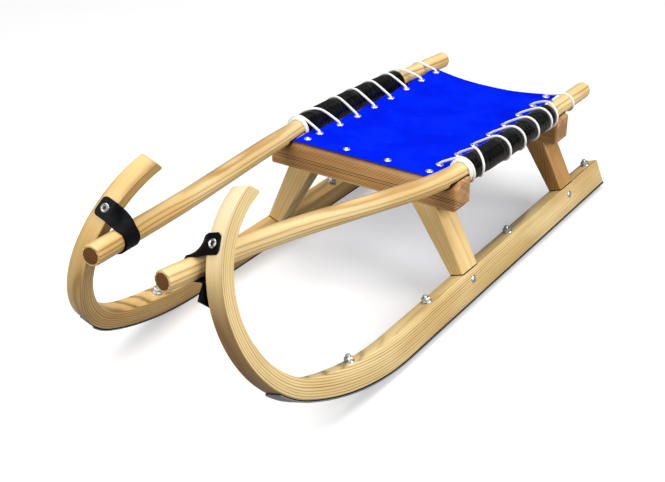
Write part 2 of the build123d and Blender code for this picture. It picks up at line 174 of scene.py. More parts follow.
SOCKET_NAMES = {
    "base_color": "Base Color",
    "roughness": "Roughness",
    "metallic": "Metallic",
    "normal": "Normal",
    "coat_weight": "Coat Weight",
    "coat_roughness": "Coat Roughness",
    "sheen_weight": "Sheen Weight",
    "specular_ior_level": "Specular IOR Level",
    "emission_color": "Emission Color",
    "emission_strength": "Emission Strength",
}


class Shade:
    def __init__(self, name, **constants):
        self.material = bpy.data.materials.new(name)
        self.material.use_nodes = True
        self.nodes = self.material.node_tree.nodes
        self.links = self.material.node_tree.links
        self.surface = self.nodes["Principled BSDF"]
        for socket, value in constants.items():
            self.surface.inputs[SOCKET_NAMES[socket]].default_value = value

    def node(self, kind, settings, sockets, output=0):
        made = self.nodes.new(kind)
        for setting, value in settings.items():
            setattr(made, setting, value)
        for socket, value in sockets.items():
            if isinstance(value, Value):
                self.links.new(value.socket, made.inputs[socket])
            else:
                made.inputs[socket].default_value = value
        return Value(self, made.outputs[output])

    def object_place(self):
        """The point's X, Y and Z on the object."""
        place = self.node("ShaderNodeTexCoord", {}, {}, output=3)
        split = self.node("ShaderNodeSeparateXYZ", {}, {0: place})
        outputs = split.socket.node.outputs
        return [Value(self, outputs[index]) for index in range(3)]

    def uv_place(self, layer):
        """The two values of a UV layer."""
        place = self.node("ShaderNodeUVMap", {"uv_map": layer}, {})
        split = self.node("ShaderNodeSeparateXYZ", {}, {0: place})
        outputs = split.socket.node.outputs
        return [Value(self, outputs[index]) for index in range(2)]

    def vector(self, x, y, z):
        return self.node("ShaderNodeCombineXYZ", {}, {0: x, 1: y, 2: z})

    def noise(self, vector, scale=1.0, detail=2.0, roughness=0.5):
        sockets = {"Vector": vector, "Scale": scale, "Detail": detail, "Roughness": roughness}
        return self.node("ShaderNodeTexNoise", {}, sockets)

    def mix(self, share, first, second):
        sockets = {0: share, 6: first, 7: second}
        return self.node("ShaderNodeMix", {"data_type": "RGBA"}, sockets, output=2)

    def bump(self, height, distance, strength=1.0):
        sockets = {"Strength": strength, "Distance": distance, "Height": height}
        return self.node("ShaderNodeBump", {}, sockets)

    def finish(self, **varying):
        for socket, value in varying.items():
            self.links.new(value.socket, self.surface.inputs[SOCKET_NAMES[socket]])
        return self.material


def colour(code):
    """Linear colour of a web colour."""
    parts = [int(code[start : start + 2], 16) / 255 for start in (0, 2, 4)]
    linear = [part / 12.92 if part <= 0.04045 else ((part + 0.055) / 1.055) ** 2.4 for part in parts]
    return (*linear, 1.0)


# Finishes
def ash(
    name, place, layer, bow, pale, late, deep, line_share=0.6, drift_size=0.02, streaks=0.5, tone_shift=None
):
    """Ash wood: growth layers round a centre line, pores in dark streaks and a clear varnish.

    place gives length, across and out of the grain. layer is a growth layer's depth and bow how round
    the layers run. pale, late and deep are the colours of early wood, late wood and the lines and
    pores. The last argument gives the shares of painted shade, in a dark brown, and of painted
    highlight, in a pale cream, from the length and across.
    """
    shade = Shade(name, coat_weight=0.4, coat_roughness=0.25, specular_ior_level=0.35)
    length, across, out = place(shade)
    drift = shade.noise(shade.vector(length * 2.2, across * 9.0, out * 9.0), 1.0, 2.0)
    wobble = shade.noise(shade.vector(length * 9.0, across * 60.0, out * 60.0), 1.0, 2.0)
    depth = across + out * out * bow + (drift - 0.5) * drift_size + (wobble - 0.5) * 0.0016
    uneven = shade.noise(shade.vector(depth * 110.0, 0.0, 0.0), 1.0, 1.0)
    ring = (depth * (math.tau / layer) + uneven * 5.0).sine() * 0.5 + 0.5
    line = ring ** 3.4
    pores = shade.noise(shade.vector(length * 60.0, across * 1500.0, out * 1500.0), 1.0, 1.0)
    fibre = shade.noise(shade.vector(length * 9.0, across * 420.0, out * 420.0), 1.0, 3.0, 0.6)
    cloud = shade.noise(shade.vector(length * 5.0, across * 24.0, out * 24.0), 1.0, 2.0)
    base = shade.mix(cloud.above(0.3, 0.72), colour(pale), colour(late))
    base = shade.mix((fibre.above(0.35, 0.8) * 0.45).clamp(), base, colour(late))
    vary = shade.noise(shade.vector(depth * 60.0 + 3.0, length * 0.8, 0.0), 1.0, 1.0).above(0.34, 0.66)
    base = shade.mix((line * line_share * (0.5 + cloud) * (0.4 + vary)).clamp(), base, colour(deep))
    base = shade.mix((pores.above(0.60, 0.74) * line.above(0.1, 0.8) * streaks).clamp(), base, colour(deep))
    # Painted shade in a dark brown and a painted highlight in a pale cream, in the shares that the last
    # argument gives
    if tone_shift:
        darker, paler = tone_shift(length, across)
        base = shade.mix((darker * (0.7 + cloud * 0.6)).clamp(), base, colour("7A5220"))
        base = shade.mix((paler * (0.7 + cloud * 0.6)).clamp(), base, colour("F3E6CB"))
    height = line * -0.4 + pores.above(0.55, 0.8) * -0.5 + fibre * 0.3
    rough = 0.4 + fibre * 0.12 + line * 0.08
    return shade.finish(base_color=base, roughness=rough, normal=shade.bump(height, 0.00016, 0.7))


def grain_uv(shade):
    """Grain that follows a bent bar, by the places that mark_grain writes."""
    length, across = shade.uv_place("grain_across")
    _, out = shade.uv_place("grain_out")
    return length, across, out


def horn_painted_light(length, across):
    """Painted light on the front of each horn: painted shade low down and a painted highlight at its top.
    """
    front = 1.0 - across.above(0.0004, 0.0024)
    low = 1.0 - length.above(1.22, 1.33)
    return front * low * length.above(1.00, 1.10) * 0.85, front * length.above(1.26, 1.40) * 0.45


def grain_leg(shade):
    """Grain up the legs, which lean in by 28 degrees."""
    x, y, z = shade.object_place()
    lean = y.size() + z * math.tan(math.radians(28.0))
    return z, lean * 0.9 + x * 0.15, x


def grain_beam(shade):
    """Grain along the beams, with layers that stand aslant."""
    x, y, z = shade.object_place()
    return y, x * 0.55 + z * 0.83, x * 0.83 - z * 0.55


def end_grain():
    """The rails' sawn ends, where the varnish has soaked in and darkened the growth layers."""
    shade = Shade("rail_end_ash", specular_ior_level=0.3)
    x, y, z = shade.object_place()
    wobble = shade.noise(shade.vector(x, y, z), 90.0, 2.0)
    ring = ((z * 0.8 + y * 0.6 + wobble * 0.004) * (math.tau / 0.0042)).sine() * 0.5 + 0.5
    pore = shade.noise(shade.vector(x, y, z), 1500.0, 1.0)
    base = shade.mix(ring * 0.8, colour("7A4E22"), colour("4A2A10"))
    base = shade.mix((pore.above(0.55, 0.75) * 0.6).clamp(), base, colour("2E190A"))
    height = ring * 0.4 + pore
    return shade.finish(base_color=base, roughness=0.5 + pore * 0.2, normal=shade.bump(height, 0.0002, 0.6))


def steel(name, tint, roughness, scratch_scale=900.0):
    """Metal with fine scratches and dull patches."""
    shade = Shade(name, metallic=1.0)
    x, y, z = shade.object_place()
    scratch = shade.noise(shade.vector(x * 30.0, y * scratch_scale, z * scratch_scale), 1.0, 2.0)
    patch = shade.noise(shade.vector(x, y, z), 160.0, 3.0)
    tone = shade.mix((patch.above(0.35, 0.75) * 0.35).clamp(), colour(tint), colour("6F7276"))
    rough = roughness + patch * 0.18
    return shade.finish(base_color=tone, roughness=rough, normal=shade.bump(scratch, 0.00004, 0.5))


def plated(name):
    """Zinc plating with its faint warm and blue cloud."""
    shade = Shade(name, metallic=1.0)
    x, y, z = shade.object_place()
    cloud = shade.noise(shade.vector(x, y, z), 240.0, 3.0)
    fine = shade.noise(shade.vector(x, y, z), 2600.0, 1.0)
    tone = shade.mix(cloud.above(0.4, 0.7), colour("C9D0D6"), colour("D8D4C4"))
    return shade.finish(base_color=tone, roughness=0.2 + cloud * 0.2, normal=shade.bump(fine, 0.00003, 0.4))


def rubber(name, tone):
    """Dull moulded rubber with some dust."""
    shade = Shade(name, specular_ior_level=0.15)
    x, y, z = shade.object_place()
    grain = shade.noise(shade.vector(x, y, z), 900.0, 3.0, 0.6)
    dust = shade.noise(shade.vector(x, y, z), 60.0, 3.0)
    base = shade.mix((dust.above(0.45, 0.8) * 0.5).clamp(), colour(tone), colour("1C1C1E"))
    rough = 0.6 + grain * 0.15
    return shade.finish(base_color=base, roughness=rough, normal=shade.bump(grain, 0.0002, 0.6))


def sleeve_rubber():
    """Glossy black rubber in fine cross wrinkles."""
    shade = Shade("sleeve_rubber", specular_ior_level=0.12)
    length, turn = shade.uv_place("grain_across")
    fold = shade.noise(shade.vector(length * 340.0, turn * 14.0, 0.0), 1.0, 2.0)
    broad = shade.noise(shade.vector(length * 110.0, turn * 18.0, 0.0), 1.0, 2.0)
    tone_shift = shade.noise(shade.vector(length * 60.0, turn * 60.0, 0.0), 1.0, 3.0)
    base = shade.mix((tone_shift.above(0.5, 0.8) * 0.6).clamp(), colour("020304"), colour("0A0B0E"))
    height = fold * 0.5 + broad * 0.8
    return shade.finish(base_color=base, roughness=0.08 + fold * 0.1, normal=shade.bump(height, 0.0020))


def braided_cord():
    """White cord of small crossing strands."""
    shade = Shade("white_cord", sheen_weight=0.25)
    length, turn = shade.uv_place("grain_across")
    one = (length * 1900.0 + turn * 1450.0).sine()
    two = (length * 1900.0 - turn * 1450.0).sine()
    weave = one * two * 0.5 + 0.5
    soil = shade.noise(shade.vector(length * 90.0, turn * 120.0, 0.0), 1.0, 3.0)
    base = shade.mix((soil.above(0.45, 0.8) * 0.4).clamp(), colour("F2F1EC"), colour("D9D6CC"))
    # Painted shade in the grooves between the strands, where the weave is low.
    base = shade.mix((1.0 - weave).above(0.75, 1.0) * 0.35, base, colour("B9B5A8"))
    return shade.finish(base_color=base, roughness=0.75 + soil * 0.1, normal=shade.bump(weave, 0.0003, 0.8))


def coated_cloth():
    """Blue coated tarpaulin: a woven base that shows through a satin coating."""
    shade = Shade("seat_fabric", specular_ior_level=0.0)
    x, y, z = shade.object_place()
    warp = (x * 5200.0).sine() * 0.5 + 0.5
    weft = (y * 5200.0).sine() * 0.5 + 0.5
    weave = warp * weft + (1.0 - warp) * (1.0 - weft)
    cloud = shade.noise(shade.vector(x, y, z), 14.0, 4.0, 0.6)
    rub = shade.noise(shade.vector(x * 0.6, y, z), 90.0, 3.0)
    # Painted shade and light of the soft crumples: the same cloud raises the bump, and the coating is
    # painted darker in its hollows and paler on its rises.
    base = shade.mix(cloud.above(0.36, 0.66), colour("0219CA"), colour("0422E2"))
    base = shade.mix((rub.above(0.6, 0.85) * 0.2).clamp(), base, colour("1C45EE"))
    height = weave * 0.5 + cloud * 1.6 + rub * 0.4
    rough = 0.4 + rub * 0.14
    return shade.finish(base_color=base, roughness=rough, normal=shade.bump(height, 0.00025, 0.7))


def cloth_edge():
    """The sheet's cut edge, in dark navy blues."""
    shade = Shade("seat_fabric_edge")
    x, y, z = shade.object_place()
    fray = shade.noise(shade.vector(x, y, z), 700.0, 2.0)
    base = shade.mix(fray.above(0.35, 0.7), colour("0A1030"), colour("152563"))
    return shade.finish(base_color=base, roughness=0.6 + fray * 0.2, normal=shade.bump(fray, 0.0002, 0.6))


def strap_leather():
    """Black leather with pores and creases."""
    shade = Shade("strap_leather", specular_ior_level=0.09)
    x, y, z = shade.object_place()
    pore = shade.node("ShaderNodeTexVoronoi", {}, {"Vector": shade.vector(x, y, z), "Scale": 900.0})
    crease = shade.noise(shade.vector(x, y, z), 110.0, 4.0, 0.6)
    base = shade.mix(crease.above(0.45, 0.8), colour("030406"), colour("0A0C16"))
    height = pore * 0.6 + crease * 0.8
    rough = 0.34 + crease * 0.16
    return shade.finish(base_color=base, roughness=rough, normal=shade.bump(height, 0.0004, 0.7))


MATERIALS = {
    "runner_ash": ash(
        "runner_ash",
        grain_uv,
        layer=0.0040,
        bow=3.0,
        pale="E5CC93",
        late="CFAD6E",
        deep="735020",
        line_share=0.58,
        drift_size=0.012,
        # painted shade and a painted highlight on the horns' fronts
        tone_shift=horn_painted_light,
    ),
    "rail_ash": ash(
        "rail_ash",
        grain_uv,
        layer=0.0060,
        bow=14.0,
        pale="E2CB94",
        late="CFAA68",
        deep="966526",
        streaks=0.6,
    ),
    "leg_ash": ash(
        "leg_ash",
        grain_leg,
        layer=0.0062,
        bow=6.0,
        pale="EACD90",
        late="D8B06E",
        deep="9A6E36",
        line_share=0.3,
        streaks=0.4,
    ),
    "beam_ash": ash(
        "beam_ash",
        grain_beam,
        layer=0.0050,
        bow=9.0,
        pale="D9A766",
        late="B07A3E",
        deep="341A08",
        line_share=1.5,
        drift_size=0.016,
        streaks=0.9,
    ),
    "steel": steel("steel", "9B9EA2", 0.35),
    "zinc": plated("zinc"),
    "grommet_metal": steel("grommet_metal", "E2E4E4", 0.3, 1600.0),
    "black_rubber": rubber("black_rubber", "050506"),
    "sleeve_rubber": sleeve_rubber(),
    "white_cord": braided_cord(),
    "strap_leather": strap_leather(),
    "seat_fabric": coated_cloth(),
}
# A darker, browner copy of the legs' ash, for the rear legs.
REAR_LEG = ash(
    "rear_leg_ash",
    grain_leg,
    layer=0.0052,
    bow=6.0,
    pale="C79A5C",
    late="AA793C",
    deep="5E3A14",
    line_share=0.5,
)
RUNNER_RIGHT = ash(
    "runner_right_ash",
    grain_uv,
    layer=0.0038,
    bow=3.0,
    pale="DAB674",
    late="BF9552",
    deep="664316",
    drift_size=0.012,
)
# Painted shadow: the pads under the rails take a dark brown, as the shade where the rails sit on the
# blocks.
RAIL_PAD_SHADOW = rubber("rail_pad_painted_shadow", "22160C")
EDGE = cloth_edge()
END_GRAIN = end_grain()
RECESS = steel("screw_recess", "3A3A34", 0.5)


# The solids that stay take their finish from the record's slots, except the rear legs, which take a darker
# copy of the legs' ash, and the rail pads, which take the painted shadow.
slot_of = {part["node"]: part["material_slot"] for part in frame["record"]["subparts"]}
for node_name, node in frame["nodes"].items():
    node.data.materials.clear()
    finish = MATERIALS[slot_of[node_name]]
    if node_name.startswith("leg_rear"):
        finish = REAR_LEG
    # the rail pads take the painted shadow
    if node_name.startswith("rail_pad"):
        finish = RAIL_PAD_SHADOW
    node.data.materials.append(finish)


# Pieces: a straight bar made by operators, then laid along its line
def ramp(value, start, run):
    """0 up to start, then evenly up to 1 over the run."""
    return min(max((value - start) / run, 0.0), 1.0)


def finish_piece(name, bm, slot, replaced, crease=35.0, materials=()):
    """Makes the object of a shape, which rides on the sled and replaces the named solids."""
    bmesh.ops.remove_doubles(bm, verts=bm.verts, dist=1e-7)
    bmesh.ops.recalc_face_normals(bm, faces=bm.faces)
    mesh = bpy.data.meshes.new(name)
    bm.to_mesh(mesh)
    bm.free()
    for material in (MATERIALS[slot], *materials):
        mesh.materials.append(material)
    mesh.shade_smooth()
    mesh.set_sharp_from_angle(angle=math.radians(crease))
    piece = bpy.data.objects.new(name, mesh)
    bpy.context.scene.collection.objects.link(piece)
    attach(piece, "root")
    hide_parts(*replaced)
    return piece


def cut_across(bm, cuts):
    """Divides the long edges of a bar that lies along X."""
    runs = {edge: (edge.verts[0].co - edge.verts[1].co).normalized() for edge in bm.edges}
    long_edges = [edge for edge, run in runs.items() if abs(run.x) > 0.99]
    bmesh.ops.subdivide_edges(bm, edges=long_edges, cuts=cuts, use_grid_fill=True)


def flat_bar(length, width, thick, cuts):
    """Along X from 0, Y from 0 to width, Z from 0 to thick."""
    bm = bmesh.new()
    bmesh.ops.create_cube(bm, size=1.0)
    bmesh.ops.translate(bm, verts=bm.verts, vec=(0.5, 0.5, 0.5))
    bmesh.ops.scale(bm, verts=bm.verts, vec=(length, width, thick))
    cut_across(bm, cuts)
    return bm


def round_bar(length, radius, sides, cuts):
    """Along X from 0, round the X axis."""
    bm = bmesh.new()
    bmesh.ops.create_cone(
        bm, cap_ends=True, segments=sides, radius1=radius, radius2=radius, depth=length
    )
    to_x = Matrix.Rotation(math.pi / 2, 3, "Y")
    bmesh.ops.rotate(bm, verts=bm.verts, cent=(0, 0, 0), matrix=to_x)
    bmesh.ops.translate(bm, verts=bm.verts, vec=(length / 2, 0, 0))
    cut_across(bm, cuts)
    return bm


def mark_grain(bm, turns=False, thinning=None):
    """Writes the straight bar's own places, so that a pattern follows the bar when it is bent.

    turns is for a round bar, whose pattern runs round it. thinning is how much thinner the bent bar
    is at each distance, so that its growth layers are cut and not squeezed.
    """
    across = bm.loops.layers.uv.new("grain_across")
    out = bm.loops.layers.uv.new("grain_out")
    for face in bm.faces:
        angles = []
        for loop in face.loops:
            co = loop.vert.co
            if not turns:
                loop[across].uv = (co.x, co.z * (thinning[co.x] if thinning else 1.0))
                loop[out].uv = (co.x, co.y)
                continue
            angle = math.atan2(co.z, co.y)
            if angles and angle - angles[0] > math.pi:
                angle -= math.tau
            if angles and angle - angles[0] < -math.pi:
                angle += math.tau
            angles.append(angle)
            loop[across].uv = (co.x, angle * math.hypot(co.y, co.z))
            loop[out].uv = (co.x, 0.0)


def lay(bm, place):
    """Moves each point of a straight bar to its place on the sled."""
    for vert in bm.verts:
        vert.co = place(vert.co.copy())


def on_runner(station, out, up, side):
    """A point of the canted runner: out from its inner face and up from the ground, along the cant."""
    y = TRACK_HALF + out * math.cos(CANT) - up * math.sin(CANT)
    z = out * math.sin(CANT) + up * math.cos(CANT)
    return Vector((station - STATION_MID, side * y, z))


def walk(run, start, distance):
    """Point and heading after a distance along a flat and its bends; start is the flat's beginning."""
    flat, bends = run
    station, up, heading = start[0] + min(distance, flat), start[1], 0.0
    left = distance - flat
    for radius, sweep in bends:
        if left <= 0.0:
            break
        turn = min(left / radius, math.radians(sweep))
        station += radius * (math.sin(heading + turn) - math.sin(heading))
        up += radius * (math.cos(heading) - math.cos(heading + turn))
        heading += turn
        left -= radius * math.radians(sweep)
    return station, up, heading


def run_length(run):
    return run[0] + sum(radius * math.radians(sweep) for radius, sweep in run[1])


SOLE_START = (RUNNER_REAR, WOOD_BOTTOM)
DECK_START = (RUNNER_REAR, RUNNER_TOP)
SOLE_LENGTH = run_length(SOLE)
DECK_LENGTH = run_length(DECK)


def across_from(distance, low):
    """Distance along the deck that lies square across from one along the sole, sought from low on."""
    station, up, heading = walk(SOLE, SOLE_START, distance)
    high = low + 0.03
    for _ in range(30):
        middle = (low + high) / 2
        deck_station, deck_up, _ = walk(DECK, DECK_START, middle)
        ahead = (deck_station - station) * math.cos(heading) + (deck_up - up) * math.sin(heading)
        if ahead < 0.0:
            low = middle
        else:
            high = middle
    return low


# Runners: bent boards whose growth layers follow the bend
def runner_sections(distances):
    """Sole point and deck point at each distance along the sole, and how thin the board is there."""
    sections, thinning = {}, {}
    reach = 0.0
    for distance in distances:
        reach = across_from(distance, reach)
        blend = ramp(distance, SOLE_LENGTH - TIP_STRETCH, TIP_STRETCH)
        deck = walk(DECK, DECK_START, reach + (DECK_LENGTH - reach) * blend * blend)
        sole = walk(SOLE, SOLE_START, distance)
        sections[distance] = (sole, deck)
        thinning[distance] = math.dist(sole[:2], deck[:2]) / RUNNER_THICK
    return sections, thinning


def runner(label, side):
    bm = flat_bar(SOLE_LENGTH, RUNNER_WIDTH, RUNNER_THICK, RUNNER_CUTS)
    sharp = [edge for edge in bm.edges if edge.calc_face_angle() > math.radians(50)]
    bmesh.ops.bevel(
        bm, geom=sharp, offset=RUNNER_EDGE, affect="EDGES", segments=2, profile=0.5, material=-1
    )
    sections, thinning = runner_sections(sorted({vert.co.x for vert in bm.verts}))
    mark_grain(bm, thinning=thinning)

    def place(co):
        distance = co.x
        low, high = sections[distance]
        share = co.z / RUNNER_THICK
        radius = TIP_ROUNDS[1] if share > 0.5 else TIP_ROUNDS[0]
        left = min(max(SOLE_LENGTH - distance, 0.0), radius)
        trim = radius - math.sqrt(radius**2 - (radius - left) ** 2)
        trim /= thinning[distance] * RUNNER_THICK
        share += trim if share < 0.5 else -trim
        slant = HEEL_SLANT * share * max(0.0, 1.0 - distance / HEEL_LENGTH)
        station = low[0] + (high[0] - low[0]) * share + slant
        return on_runner(station, co.y, low[1] + (high[1] - low[1]) * share, side)

    lay(bm, place)
    board = finish_piece("runner_board_" + label, bm, "runner_ash", ["runner_" + label])
    if side < 0:
        board.data.materials[0] = RUNNER_RIGHT


# Side rails
def rounded_line(corners, share, steps=24):
    """Points along straight runs joined by tangent arcs, which take a share of the shorter run."""
    points = [corners[0]]
    for before, corner, after in zip(corners, corners[1:], corners[2:]):
        back, ahead = (before - corner), (after - corner)
        reach = min(back.length, ahead.length) * share
        back, ahead = back.normalized(), ahead.normalized()
        turn = math.pi - back.angle(ahead)
        radius = reach / math.tan(turn / 2)
        centre = corner + (back + ahead).normalized() * (radius / math.cos(turn / 2))
        first = (corner + back * reach - centre).normalized()
        for index in range(steps + 1):
            angle = turn * index / steps
            points.append(centre + (first * math.cos(angle) - back * math.sin(angle)) * radius)
    return points + [corners[-1]]


class Line:
    """A line through points, read by its length; index is where it was read last."""

    def __init__(self, points):
        self.points = points
        self.reaches = [0.0]
        for one, two in zip(points, points[1:]):
            self.reaches.append(self.reaches[-1] + (two - one).length)
        self.length = self.reaches[-1]
        self.index = 0

    def at(self, distance):
        """Point and direction at a distance."""
        index = self.index
        if distance < self.reaches[index]:
            index = 0
        while index < len(self.points) - 2 and distance > self.reaches[index + 1]:
            index += 1
        self.index = index
        one, two = self.points[index], self.points[index + 1]
        share = (distance - self.reaches[index]) / (self.reaches[index + 1] - self.reaches[index])
        before = self.points[max(index - 1, 0)]
        after = self.points[min(index + 2, len(self.points) - 1)]
        ahead = (two - before).lerp(after - one, share).normalized()
        return one.lerp(two, share), ahead

    def at_station(self, station):
        """The first point at a station."""
        for one, two in zip(self.points, self.points[1:]):
            if (one.x + STATION_MID - station) * (two.x + STATION_MID - station) <= 0.0:
                return one.lerp(two, (station - STATION_MID - one.x) / (two.x - one.x))
        return self.points[-1]


def rail_line(side):
    corners = []
    for length_share, inset_share, height_share in RAIL_SHARES:
        x = RAIL_LENGTH * length_share - STATION_MID
        y = side * (TRACK_HALF - BEAM_TOP * inset_share)
        corners.append(Vector((x, y, BEAM_TOP * height_share)))
    return Line(rounded_line(corners, CORNER_SHARE))


RAILS = {label: rail_line(side) for label, side in SIDES.items()}


def along_rail(rail, side, distance, out, up):
    """A point beside the rail's centre line: out away from the middle, up."""
    centre, ahead = rail.at(distance)
    level = Vector((0, 0, 1)).cross(ahead).normalized() * side
    return centre + level * out + ahead.cross(level * side).normalized() * up


def side_rail(label, side):
    rail = RAILS[label]
    bm = round_bar(rail.length, RAIL_RADIUS, sides=48, cuts=150)
    mark_grain(bm)
    ends = [edge for edge in bm.edges if edge.calc_face_angle() > math.radians(60)]
    bmesh.ops.bevel(
        bm, geom=ends, offset=RAIL_EDGE, affect="EDGES", segments=2, profile=0.6, material=-1
    )
    sawn_ends = [face for face in bm.faces if len(face.verts) > 12]
    for face in sawn_ends:
        face.material_index = 1

    def place(co):
        turn = math.atan2(co.z, co.y)
        front = ramp(co.x / rail.length, FRONT_FACET_START, FRONT_FACET_RUN)
        depth = FACET_DEPTH + FRONT_FACET_DEPTH * front
        shape = 1.0 - depth * (0.5 - 0.5 * math.cos(FACET_COUNT * turn))
        return along_rail(rail, side, co.x, co.y * shape, co.z * shape)

    lay(bm, place)
    replaced = ["side_rail_" + label]
    finish_piece("side_pole_" + label, bm, "rail_ash", replaced, crease=30.0, materials=[END_GRAIN])


# Lacing: one cord a side, up through each grommet and round the rail
def sheet_top(station):
    """Height of the sheet's upper side at a station."""
    share = (SHEET_FRONT - station) / SHEET_LENGTH
    for one, two in zip(SHEET_SHARES, SHEET_SHARES[1:]):
        if share <= two[0]:
            part = max(share - one[0], 0.0) / (two[0] - one[0])
            return SHEET_TOP - SHEET_SAG * (one[1] + (two[1] - one[1]) * part)
    return SHEET_TOP - SHEET_SAG


# how far the cord's middle lies from the rail's, round the sleeve and on the bare wood
ON_SLEEVE = SLEEVE_RADIUS + 0.0012
ON_RAIL = RAIL_RADIUS + 0.0024
# the knotted start, two hoops round the bare rail in front of the sleeve: station, distance from the
# rail's middle, first and last angle from the rail's top, number of points
KNOT_HOOPS = (
    (0.5188, ON_RAIL, 575, 230, 13),
    (0.5172, RAIL_RADIUS + 0.0046, 200, -130, 12),
)
KNOT_DRIFT = 0.0001
# up through a grommet, below and above the sheet, and then out towards the rail
GROMMET_RISES = (-0.005, -0.001, 0.0032)
GROMMET_LEAD = (0.004, 0.006)
# a winding starts inside the rail's top and ends under the rail
WINDING_START = -34
LAST_START = -38
WINDING_STOP = 208
# how far back of its grommet a winding lies at even steps round the rail
DRIFTS = (0, 0, 0, 0.0004, 0.001, 0.003, 0.006, 0.010, 0.016)
# the windings that lie otherwise: the first keeps to the sleeve's front end, the second runs forward
# along the rail, and the seventh lies in front of the rear beam
OWN_DRIFTS = {
    0: (0, -0.001, -0.002, -0.0022, -0.002, 0.001, 0.006, 0.010, 0.016),
    1: (-0.006, -0.018, -0.028, -0.034, -0.037, -0.036, -0.028, -0.014, 0.004),
    6: (-0.010, -0.020, -0.027, -0.030, -0.0315, -0.032, -0.032, -0.0315, -0.031),
}
# after these windings the cord goes up in front of the rear beam, and back between it and the sheet:
# station, out from the middle, up
BEAM_LEADS = {
    5: ((0.181, 0.119, 0.197),),
    6: (
        (0.1835, 0.137, 0.188),
        (0.176, 0.1325, 0.2015),
        (0.153, 0.1315, 0.2022),
        (0.130, 0.1305, 0.2022),
        (0.112, 0.127, 0.199),
    ),
}
# the cord's end, tucked under the sheet: back, out and down from the last grommet
TUCK = (0.004, 0.006, 0.006)


def winding(rail, side, station, radius, start, stop, drifts):
    """Points round the rail from one angle to another, each moved back by its drift."""
    points = []
    for index, drift in enumerate(drifts):
        angle = math.radians(start + (stop - start) * index / (len(drifts) - 1))
        centre = rail.at_station(station - drift)
        out, up = radius * math.sin(angle), radius * math.cos(angle)
        points.append(centre + Vector((0, side * out, up)))
    return points


def lacing_line(label, side):
    rail = RAILS[label]
    points = []

    def add(station, out, up):
        points.append(Vector((station - STATION_MID, side * out, up)))

    for station, radius, start, stop, count in KNOT_HOOPS:
        drifts = [KNOT_DRIFT * index for index in range(count)]
        points += winding(rail, side, station, radius, start, stop, drifts)
    for index, station in enumerate(GROMMET_STATIONS):
        height = sheet_top(station)
        for rise in GROMMET_RISES:
            add(station, GROMMET_HALF, height + rise)
        add(station, GROMMET_HALF + GROMMET_LEAD[0], height + GROMMET_LEAD[1])
        bare = station == GROMMET_STATIONS[-1]
        radius, start = (ON_RAIL, LAST_START) if bare else (ON_SLEEVE, WINDING_START)
        drifts = OWN_DRIFTS.get(index, DRIFTS)
        points += winding(rail, side, station, radius, start, WINDING_STOP, drifts)
        for lead in BEAM_LEADS.get(index, ()):
            add(*lead)
    back, out, down = TUCK
    add(GROMMET_STATIONS[-1] - back, GROMMET_HALF + out, sheet_top(GROMMET_STATIONS[-1]) - down)
    return smooth_line(points)


def smooth_line(points):
    """A smooth line near the points, read from a NURBS curve of order 3."""
    data = bpy.data.curves.new("line", "CURVE")
    data.dimensions = "3D"
    spline = data.splines.new("NURBS")
    spline.points.add(len(points) - 1)
    for target, point in zip(spline.points, points):
        target.co = (*point, 1.0)
    spline.order_u = 3
    spline.use_endpoint_u = True
    spline.resolution_u = 6
    holder = bpy.data.objects.new("line", data)
    mesh = bpy.data.meshes.new_from_object(holder)
    line = [vert.co.copy() for vert in mesh.vertices]
    bpy.data.objects.remove(holder)
    bpy.data.curves.remove(data)
    bpy.data.meshes.remove(mesh)
    kept = [line[0]]
    for point in line[1:]:
        if (point - kept[-1]).length > 1e-5:
            kept.append(point)
    return Line(kept)


LACES = {label: lacing_line(label, side) for label, side in SIDES.items()}


def tube(line, radius, sides):
    """A round bar laid along a line without twisting, cut across once in each radius of length."""
    bm = round_bar(line.length, radius, sides, int(line.length / radius))
    mark_grain(bm, turns=True)
    frames = {}
    level = Vector((0, 0, 1)).cross(line.at(0.0)[1])
    if level.length < 0.1:
        level = Vector((1, 0, 0))
    for distance in sorted({vert.co.x for vert in bm.verts}):
        centre, ahead = line.at(distance)
        level = (level - ahead * level.dot(ahead)).normalized()
        frames[distance] = (centre, level.copy(), ahead.cross(level))

    def place(co):
        centre, level, rise = frames[co.x]
        return centre + level * co.y + rise * co.z

    lay(bm, place)
    return bm


def lacing(label, side):
    bm = tube(LACES[label], CORD_RADIUS, sides=12)
    finish_piece("lacing_cord_" + label, bm, "white_cord", ["lacing_" + label], crease=80.0)


# Sleeves: soft rubber, wrinkled across, a little thinner at its ends and squeezed in under the cord
SLEEVE_TIGHT = 0.0006
FOLD_DEPTH = 0.00035
SWELL_DEPTH = 0.0005
END_TAPER = 0.0022
END_RUN = 0.003
SQUEEZE_DEPTH = 0.0016
SQUEEZE_REACH = 0.0042


